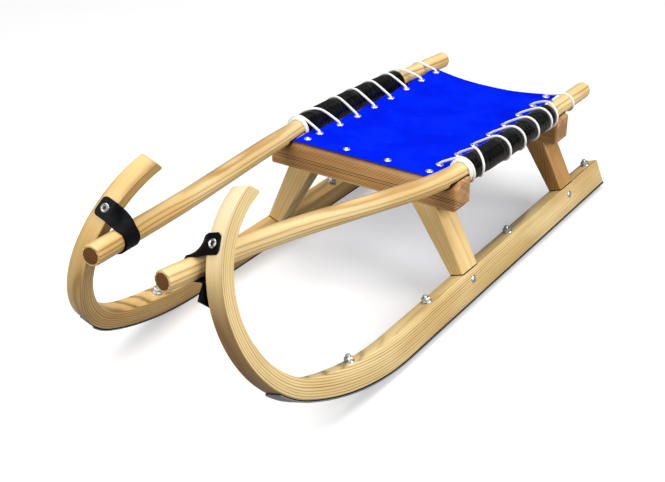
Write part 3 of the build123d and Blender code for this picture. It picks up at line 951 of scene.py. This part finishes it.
def sleeve(label, side):
    rail = RAILS[label]
    length = SLEEVE_FRONT - SLEEVE_REAR
    bm = round_bar(length, SLEEVE_RADIUS, sides=56, cuts=260)
    mark_grain(bm, turns=True)
    first, last = SLEEVE_REAR - 0.01 - STATION_MID, SLEEVE_FRONT + 0.01 - STATION_MID
    cord = [point for point in LACES[label].points if first < point.x < last]

    def place(co):
        centre = rail.at_station(SLEEVE_REAR + co.x)
        turn = math.atan2(co.z, co.y)
        around = (math.cos(turn), math.sin(turn))
        fold = noise.noise(Vector((co.x * 380.0, around[0] * 1.4, around[1] * 1.4 + side * 3.0)))
        swell = noise.noise(Vector((co.x * 55.0, around[0] * 0.8, around[1] * 0.8)))
        end = min(co.x, length - co.x)
        taper = 1.0 - END_TAPER / SLEEVE_RADIUS * max(0.0, 1.0 - end / END_RUN) ** 2
        radius = math.hypot(co.y, co.z)
        if radius < 1e-6:
            return centre
        spoke = Vector((0, side * co.y, co.z)) / radius
        grown = radius * taper - SLEEVE_TIGHT + FOLD_DEPTH * fold + SWELL_DEPTH * swell
        near = min((centre + spoke * grown - point).length for point in cord)
        grown -= SQUEEZE_DEPTH * math.exp(-((near / SQUEEZE_REACH) ** 2))
        return centre + spoke * grown

    lay(bm, place)
    finish_piece("rail_sleeve_" + label, bm, "sleeve_rubber", ["sleeve_" + label], crease=60.0)


# Seat: a stretched sheet that hangs a little between the rails, scalloped between its grommets
# the sheet's edge stops this far short of the rails, at its front edge and at its rear edge
FRONT_GAP = 0.0023
REAR_GAP = 0.0086
# between the grommets the edge draws in and ripples; the middle and the rear edge hang lower
SCALLOP_DEPTH = 0.0022
RIPPLE_DEPTH = 0.0011
MIDDLE_SAG = 0.0052
REAR_SAG = 0.0048
DRIFT_DEPTH = 0.0016
REAR_BOW = 0.006
# only the cut edge has faces as small as this
EDGE_FACE_AREA = 0.0000065


def sheet_half(station):
    """Half of the sheet's width at a station, between the rails."""
    rail = RAILS["left"]
    front = rail.at_station(SHEET_FRONT).y - RAIL_RADIUS - FRONT_GAP
    rear = rail.at_station(SHEET_FRONT - SHEET_LENGTH).y - RAIL_RADIUS - REAR_GAP
    return front + (rear - front) * (SHEET_FRONT - station) / SHEET_LENGTH


def seat_sheet():
    """back is the share of the way to the rear edge, across runs from -1 to 1 between the rails."""
    bm = bmesh.new()
    bmesh.ops.create_grid(bm, x_segments=150, y_segments=90, size=0.5)
    half_pitch = (GROMMET_STATIONS[1] - GROMMET_STATIONS[2]) / 2
    for vert in bm.verts:
        back, across = 0.5 - vert.co.x, vert.co.y * 2.0
        station = SHEET_FRONT - SHEET_LENGTH * back
        nearest = min(abs(station - grommet) for grommet in GROMMET_STATIONS)
        pull = math.cos(min(nearest / half_pitch, 1.0) * math.pi / 2)
        loose = ramp(back, 0.0, 0.125)
        y = across * (sheet_half(station) - SCALLOP_DEPTH * (1.0 - pull) * loose)
        hollow = 1.0 - across * across
        slack = ramp(back, 0.10, 0.5)
        tail = ramp(back, 0.89, 0.11)
        sag = MIDDLE_SAG * slack * slack * (3.0 - 2.0 * slack) + REAR_SAG * tail * tail
        edge = ramp(abs(across), 0.80, 0.20)
        ripple = RIPPLE_DEPTH * edge * (pull - 0.5) * loose
        drift = DRIFT_DEPTH * noise.noise(Vector((station * 9.0, y * 11.0, 0.3))) * slack
        bow = REAR_BOW * ramp(back, 0.93, 0.07) * hollow
        z = sheet_top(station) - SHEET_THICK / 2 - sag * hollow + ripple + drift
        vert.co = Vector((station + bow - STATION_MID, y, z))
    bmesh.ops.recalc_face_normals(bm, faces=bm.faces)
    bmesh.ops.solidify(bm, geom=bm.faces[:], thickness=SHEET_THICK)
    for face in bm.faces:
        if face.calc_area() < EDGE_FACE_AREA and abs(face.normal.z) < 0.6:
            face.material_index = 1
    piece = finish_piece("seat_cloth", bm, "seat_fabric", ["seat_sheet"], crease=60.0, materials=[EDGE])


# Turned rings, domes and discs: a profile of (radius, height) spun round Z
def turned(profile, steps=28):
    bm = bmesh.new()
    verts = [bm.verts.new((radius, 0.0, height)) for radius, height in profile]
    for one, two in zip(verts, verts[1:]):
        bm.edges.new((one, two))
    bmesh.ops.spin(
        bm,
        geom=bm.verts[:] + bm.edges[:],
        cent=(0, 0, 0),
        axis=(0, 0, 1),
        angle=math.tau,
        steps=steps,
        use_merge=True,
    )
    bmesh.ops.remove_doubles(bm, verts=bm.verts, dist=1e-6)
    return bm


def add_shape(whole, shape):
    """Moves a shape's faces into another."""
    mesh = bpy.data.meshes.new("shape")
    shape.to_mesh(mesh)
    shape.free()
    whole.from_mesh(mesh)
    bpy.data.meshes.remove(mesh)


def copies(name, make, places, slot, replaced, crease=35.0):
    """One piece of like shapes, each moved to its place."""
    whole = bmesh.new()
    for matrix in places:
        shape = make()
        bmesh.ops.transform(shape, matrix=matrix, verts=shape.verts)
        add_shape(whole, shape)
    return finish_piece(name, whole, slot, replaced, crease)


def stand(point, up, ahead=Vector((1, 0, 0))):
    """A matrix that puts a shape's Z along up at a point."""
    up = up.normalized()
    ahead = (ahead - up * ahead.dot(up)).normalized()
    matrix = Matrix((ahead, up.cross(ahead), up)).transposed().to_4x4()
    matrix.translation = point
    return matrix


def grommet():
    """A rolled ring above the sheet and a flatter washer below."""
    ring = (
        (0.0042, -0.0010),
        (0.0040, 0.0004),
        (0.0046, 0.0014),
        (0.0056, 0.0016),
        (0.0068, 0.0009),
        (0.0072, 0.0001),
    )
    under = ((0.0072, -0.0012), (0.0070, -0.0019), (0.0048, -0.0021), (0.0042, -0.0010))
    return turned(ring + under)


# what lies on a face stands this clear of it
FACE_GAP = 0.0001
# the grommets lie along the sheet's fall, read this far before and behind, and lean out to the rails
FALL_REACH = 0.004
GROMMET_LEAN = 0.10


def grommets(label, side):
    places = []
    for station in GROMMET_STATIONS:
        rise = sheet_top(station + FALL_REACH) - sheet_top(station - FALL_REACH)
        up = Vector((-rise / (2 * FALL_REACH), side * GROMMET_LEAN, 1.0))
        point = Vector((station - STATION_MID, side * GROMMET_HALF, sheet_top(station) + FACE_GAP))
        places.append(stand(point, up))
    replaced = ["grommets_" + label]
    copies("sheet_grommets_" + label, grommet, places, "grommet_metal", replaced, crease=60.0)


def rivet():
    """A flat head with a rolled rim round a sunk tube end."""
    profile = (
        (0.0066, 0.0),
        (0.0068, 0.0006),
        (0.0062, 0.0014),
        (0.0048, 0.0018),
        (0.0034, 0.0018),
        (0.0028, 0.0014),
        (0.0024, 0.0004),
        (0.0008, 0.0003),
        (0.0, 0.0003),
    )
    return turned(profile)


def seat_rivets():
    x = SHEET_FRONT - RIVET_SETBACK - STATION_MID
    places = []
    for half in RIVET_HALVES:
        for side in (1, -1):
            point = Vector((x, side * half, SHEET_TOP + FACE_GAP))
            places.append(stand(point, Vector((0, 0, 1))))
    copies("sheet_rivets", rivet, places, "zinc", ["seat_rivets"], crease=50.0)


WASHER_THICK = 0.0016
NUT_RADIUS = 0.0075
NUT_HEIGHT = 0.0065
NUT_EDGE = 0.0007
STUD_RADIUS = 0.0040
STUD_BASE = 0.0078
THREAD_COUNT = 4
THREAD_START = 0.0081
THREAD_PITCH = 0.0009
THREAD_DEPTH = 0.0005


def nut():
    """A washer, a hexagonal nut with turned corners and the stud's end."""
    washer = (
        (STUD_RADIUS, 0.0),
        (0.0088, 0.0),
        (0.0091, 0.0004),
        (0.0088, WASHER_THICK),
        (STUD_RADIUS, WASHER_THICK),
    )
    whole = turned(washer, steps=32)
    head = bmesh.new()
    bmesh.ops.create_cone(
        head, cap_ends=True, segments=6, radius1=NUT_RADIUS, radius2=NUT_RADIUS, depth=NUT_HEIGHT
    )
    rims = [edge for edge in head.edges if abs(edge.verts[0].co.z - edge.verts[1].co.z) < 1e-6]
    bmesh.ops.bevel(
        head, geom=rims, offset=NUT_EDGE, affect="EDGES", segments=2, profile=0.5, material=-1
    )
    bmesh.ops.translate(head, verts=head.verts, vec=(0, 0, WASHER_THICK + NUT_HEIGHT / 2))
    stud = [(STUD_RADIUS, STUD_BASE)]
    for index in range(THREAD_COUNT):
        low = THREAD_START + index * THREAD_PITCH
        stud += [(STUD_RADIUS, low), (STUD_RADIUS - THREAD_DEPTH, low + THREAD_PITCH / 2)]
    stud += [(0.0037, 0.0117), (0.0026, 0.0123), (0.0, 0.0124)]
    add_shape(whole, head)
    add_shape(whole, turned(stud, steps=20))
    return whole


def runner_nuts(label, side):
    """The nuts stand square on the deck, also where its first bend rises, each turned its own way."""
    bend_start, bend_radius = RUNNER_REAR + DECK[0], DECK[1][0][0]
    places = []
    for index, station in enumerate(NUT_STATIONS):
        pitch = math.asin(max(station - bend_start, 0.0) / bend_radius)
        up = RUNNER_TOP + bend_radius * (1 - math.cos(pitch)) + FACE_GAP
        level = math.cos(pitch)
        normal = Vector((-math.sin(pitch), -side * level * math.sin(CANT), level * math.cos(CANT)))
        ahead = Vector((math.cos(index * 1.3), math.sin(index * 1.3), 0.0))
        places.append(stand(on_runner(station, RUNNER_WIDTH / 2, up, side), normal, ahead))
    copies("deck_nuts_" + label, nut, places, "zinc", ["runner_nuts_" + label], crease=30.0)


HEAD_RADIUS = 0.0068
HEAD_RIM = 0.0004
HEAD_DOME = 0.0026


def bolt_head():
    """A low dome on a thin rim."""
    dome = [
        (HEAD_RADIUS * math.cos(angle), HEAD_RIM + HEAD_DOME * math.sin(angle))
        for angle in (0.0, 0.3, 0.6, 0.9, 1.2)
    ]
    return turned([(HEAD_RADIUS, 0.0), *dome, (0.0, HEAD_RIM + HEAD_DOME)])


def leg_bolts(label, side):
    outward = Vector((0, side * math.cos(CANT), math.sin(CANT)))
    points = [on_runner(station, RUNNER_WIDTH, BOLT_HEIGHT, side) for station in BOLT_STATIONS]
    places = [stand(point, outward) for point in points]
    copies("bolt_heads_" + label, bolt_head, places, "zinc", ["leg_bolts_" + label])


# Straps: screwed to the horn's outer curve, round the side rail and down behind the horn
HORN = walk(SOLE, SOLE_START, SOLE_LENGTH)
HORN_RADIUS = SOLE[1][2][0]
HORN_CENTRE = (
    HORN[0] - HORN_RADIUS * math.sin(HORN[2]),
    HORN[1] + HORN_RADIUS * math.cos(HORN[2]),
)
TAB_ANGLE = math.radians(129.5)
TAB_OUTS = (0.0225, 0.016, 0.009, 0.002)
TAB_RISE = 0.0014
SCREW_OUT = 0.0115
SCREW_RISE = 0.0027
RECESS_RADIUS = 0.0032
STRAP_THICK = 0.0025
STRAP_WIDTH = 0.030
STRAP_EDGE = 0.0005
# the loop is a little wider than the tab, the tail's end is narrower, and the strap's edges lift
# where it leaves the horn
LOOP_WIDENING = 0.001
TAIL_NARROWING = 0.008
CUP_DEPTH = 0.0011
# how far the loop lies off the rail, and how far behind the tab it goes round
LOOP_RISE = 0.0016
LOOP_SETBACK = 0.0015
LOOP_END = math.radians(270)
LOOP_STEPS = 9
# how full the strap lies between the tab and the loop, and how late it turns
FULLNESS = 0.0015
LATE_TURN = 1.4
# from the loop into the gap beside the horn: short of the horn's inner face, forward, down
GAP_ENTRY = ((0.012, 0.003, 0.0), (0.0045, 0.007, 0.002))
# the tail in the gap: forward, down
TAIL = ((0.012, 0.008), (0.022, 0.018), (0.031, 0.028))
TAIL_GAP = 0.0021


def on_horn(angle, rise, out, side):
    """A point over the horn's outer curve, at an angle round the centre of its last bend."""
    reach = HORN_RADIUS + rise
    station = HORN_CENTRE[0] + reach * math.sin(angle)
    return on_runner(station, out, HORN_CENTRE[1] - reach * math.cos(angle), side)


def canted(forward, up, side):
    """A direction in the canted runner's own plane."""
    return Vector((forward, -side * up * math.sin(CANT), up * math.cos(CANT)))


def strap_frames(label, side):
    """Centre, width direction and face normal at places along the strap, from the tab to the tail's end."""
    rail = RAILS[label]
    station = HORN_CENTRE[0] + HORN_RADIUS * math.sin(TAB_ANGLE) - LOOP_SETBACK
    centre = rail.at_station(station)
    ahead = (rail.at_station(station + 0.01) - rail.at_station(station - 0.01)).normalized()
    outward = Vector((0, side * math.cos(CANT), math.sin(CANT)))
    outward = (outward - ahead * outward.dot(ahead)).normalized()
    rise = outward.cross(ahead) * side
    if rise.z < 0:
        rise = -rise
    down_face = canted(-math.cos(TAB_ANGLE), -math.sin(TAB_ANGLE), side)
    face = canted(math.sin(TAB_ANGLE), -math.cos(TAB_ANGLE), side)
    frames = [(on_horn(TAB_ANGLE, TAB_RISE, out, side), down_face, face) for out in TAB_OUTS]

    # straight from the tab's edge to where it touches the loop round the rail
    reach = RAIL_RADIUS + LOOP_RISE
    edge = frames[-1][0]
    away, high = (edge - centre).dot(outward), (edge - centre).dot(rise)
    touch = math.atan2(high, away) + math.acos(min(reach / math.hypot(away, high), 1.0))
    spoke = outward * math.cos(touch) + rise * math.sin(touch)
    for share in (0.25, 0.5, 0.75):
        middle = edge.lerp(centre + spoke * reach, share) + spoke * FULLNESS * math.sin(math.pi * share)
        turned_by = share**LATE_TURN
        width = down_face.lerp(ahead, turned_by).normalized()
        frames.append((middle, width, face.lerp(spoke, turned_by).normalized()))
    for index in range(LOOP_STEPS + 1):
        angle = touch + (LOOP_END - touch) * index / LOOP_STEPS
        spoke = outward * math.cos(angle) + rise * math.sin(angle)
        frames.append((centre + spoke * reach, ahead, spoke))

    # into the gap between the rail and the horn, and down in it
    gap = (on_runner(station, 0.0, centre.z / math.cos(CANT), side) - centre).dot(outward)
    low = centre - rise * reach
    for (short, forward, drop), normal in zip(GAP_ENTRY, (-rise, (-rise - outward).normalized())):
        point = low + outward * (gap - short) + ahead * forward - rise * drop
        frames.append((point, ahead, normal))
    slope = (ahead * 0.75 + rise * 0.65).normalized()
    for forward, drop in TAIL:
        point = low + outward * (gap - TAIL_GAP) + ahead * forward - rise * drop
        frames.append((point, slope, -outward))
    return frames


def blend_frames(frames, share):
    """A smooth reading of the frames by a share of their number."""
    place = share * (len(frames) - 1)
    index = min(int(place), len(frames) - 2)
    part = place - index
    weights = (
        -0.5 * part + part**2 - 0.5 * part**3,
        1 - 2.5 * part**2 + 1.5 * part**3,
        0.5 * part + 2 * part**2 - 1.5 * part**3,
        -0.5 * part**2 + 0.5 * part**3,
    )
    picked = [frames[min(max(index + shift, 0), len(frames) - 1)] for shift in (-1, 0, 1, 2)]
    mixed = []
    for item in range(3):
        total = Vector((0, 0, 0))
        for weight, one in zip(weights, picked):
            total += one[item] * weight
        mixed.append(total)
    return mixed[0], mixed[1].normalized(), mixed[2].normalized()


def strap(label, side):
    """co.x is the share of the way from the tab's end to the tail's."""
    frames = strap_frames(label, side)
    bm = flat_bar(1.0, 1.0, STRAP_THICK, cuts=96)
    runs = {edge: edge.verts[0].co - edge.verts[1].co for edge in bm.edges}
    wide = [edge for edge, run in runs.items() if abs(run.x) < 1e-6 and abs(run.y) > 0.5]
    bmesh.ops.subdivide_edges(bm, edges=wide, cuts=9, use_grid_fill=True)
    mark_grain(bm)

    def place(co):
        centre, across, normal = blend_frames(frames, co.x)
        loop, tail = ramp(co.x, 0.12, 0.3), ramp(co.x, 0.84, 0.16)
        width = STRAP_WIDTH + LOOP_WIDENING * loop - TAIL_NARROWING * tail
        round_end = max(0.0, 1.0 - co.x / 0.05)
        width *= math.sqrt(1.0 - round_end**2 * 0.62)
        cup = CUP_DEPTH * math.exp(-(((co.x - 0.26) / 0.09) ** 2)) * (co.y - 0.5) ** 2 * 4.0
        return centre + across * (co.y - 0.5) * width + normal * (co.z - STRAP_THICK / 2 + cup)

    lay(bm, place)
    sharp = [edge for edge in bm.edges if edge.calc_face_angle() > math.radians(60)]
    bmesh.ops.bevel(
        bm, geom=sharp, offset=STRAP_EDGE, affect="EDGES", segments=2, profile=0.5, material=-1
    )
    finish_piece("horn_strap_" + label, bm, "strap_leather", ["strap_" + label], crease=50.0)


def strap_screw():
    """A cup washer round a low head with a dark recess."""
    profile = (
        (0.0068, 0.0),
        (0.0067, 0.0010),
        (0.0056, 0.0018),
        (0.0044, 0.0014),
        (0.0036, 0.0006),
        (0.0034, 0.0010),
        (0.0026, 0.0013),
        (0.0012, 0.0012),
        (0.0010, 0.0004),
        (0.0, 0.0004),
    )
    return turned(profile)


def strap_screws(label, side):
    point = on_horn(TAB_ANGLE, SCREW_RISE, SCREW_OUT, side)
    places = [stand(point, canted(math.sin(TAB_ANGLE), -math.cos(TAB_ANGLE), side))]
    replaced = ["strap_screw_" + label]
    piece = copies("strap_screws_" + label, strap_screw, places, "zinc", replaced, crease=40.0)
    piece.data.materials.append(RECESS)
    for face in piece.data.polygons:
        if (face.center - point).length < RECESS_RADIUS:
            face.material_index = 1


PAIRS = (runner, side_rail, lacing, sleeve, grommets, runner_nuts, leg_bolts, strap, strap_screws)
for side_label, side_sign in SIDES.items():
    for make_piece in PAIRS:
        make_piece(side_label, side_sign)
seat_sheet()
seat_rivets()


# Floor, light and camera
def grey(level):
    return (level, level, level, 1.0)


def floor_material():
    """A pale floor that throws less light back than the camera sees, and is plain white far off."""
    shade = Shade("floor", roughness=0.9, specular_ior_level=0.0, emission_strength=1.0)
    x, y, z = shade.object_place()
    cloud = shade.noise(shade.vector(x, y, z), 3.0, 2.0)
    seen = shade.node("ShaderNodeLightPath", {}, {})
    pale = shade.mix(cloud, grey(0.93), grey(0.95))
    plain = ((x * x + y * y).root().above(1.0, 3.2) + seen * 0.3).clamp()
    base = shade.mix(plain, shade.mix(seen, grey(0.28), pale), grey(0.0))
    glow = shade.mix(plain * seen, grey(0.0), grey(1.0))
    return shade.finish(base_color=base, emission_color=glow)


FLOOR_REACH = 14.0
floor_shape = bmesh.new()
bmesh.ops.create_grid(floor_shape, x_segments=1, y_segments=1, size=FLOOR_REACH)
floor_mesh = bpy.data.meshes.new("floor")
floor_shape.to_mesh(floor_mesh)
floor_shape.free()
floor_mesh.materials.append(floor_material())
floor = bpy.data.objects.new("floor", floor_mesh)
bpy.context.scene.collection.objects.link(floor)

# name: place, aim, size, watts
LAMPS = {
    "key": ((-0.3, 2.7, 1.6), (-0.2, 0, 0.1), 2.2, 79.0),
    "top": ((-0.5, -0.2, 2.6), (0, 0, 0.1), 3.0, 60.0),
    "front": ((2.3, -0.3, 1.9), (0.2, 0, 0.2), 1.6, 47.0),
}


def aimed(place, target):
    """The turn of a lamp or a camera that looks from its place to a target."""
    return (Vector(target) - Vector(place)).to_track_quat("-Z", "Y").to_euler()


for lamp_name, (lamp_place, lamp_aim, lamp_size, watts) in LAMPS.items():
    lamp_data = bpy.data.lights.new(lamp_name, "AREA")
    lamp_data.size = lamp_size
    lamp_data.energy = watts
    lamp = bpy.data.objects.new(lamp_name, lamp_data)
    lamp.location = lamp_place
    lamp.rotation_euler = aimed(lamp_place, lamp_aim)
    bpy.context.scene.collection.objects.link(lamp)

# White all round: dim as light and in reflections, full where the camera sees it
SKY_LIGHT = 0.27
SKY_SEEN = {"Is Glossy Ray": 0.28, "Is Camera Ray": 1.0, "Is Transmission Ray": 1.0}
world = bpy.data.worlds.new("studio")
world.use_nodes = True
tree = world.node_tree
background = tree.nodes["Background"]
background.inputs["Color"].default_value = grey(1.0)
background.inputs["Strength"].default_value = SKY_LIGHT
path = tree.nodes.new("ShaderNodeLightPath")
shown = background.outputs[0]
for ray, strength in SKY_SEEN.items():
    seen = tree.nodes.new("ShaderNodeBackground")
    seen.inputs["Strength"].default_value = strength
    blend = tree.nodes.new("ShaderNodeMixShader")
    tree.links.new(path.outputs[ray], blend.inputs[0])
    tree.links.new(shown, blend.inputs[1])
    tree.links.new(seen.outputs[0], blend.inputs[2])
    shown = blend.outputs[0]
tree.links.new(shown, tree.nodes["World Output"].inputs["Surface"])
bpy.context.scene.world = world

EYE = (1.6285, 1.0196, 1.0914)
TARGET = (0.0821, 0.0, 0.1054)
camera_data = bpy.data.cameras.new("camera")
camera_data.lens = 67.95
camera_data.sensor_width = 36.0
camera = bpy.data.objects.new("camera", camera_data)
camera.location = EYE
camera.rotation_euler = aimed(EYE, TARGET)
bpy.context.scene.collection.objects.link(camera)
bpy.context.scene.camera = camera
bpy.context.scene.view_settings.view_transform = "Standard"
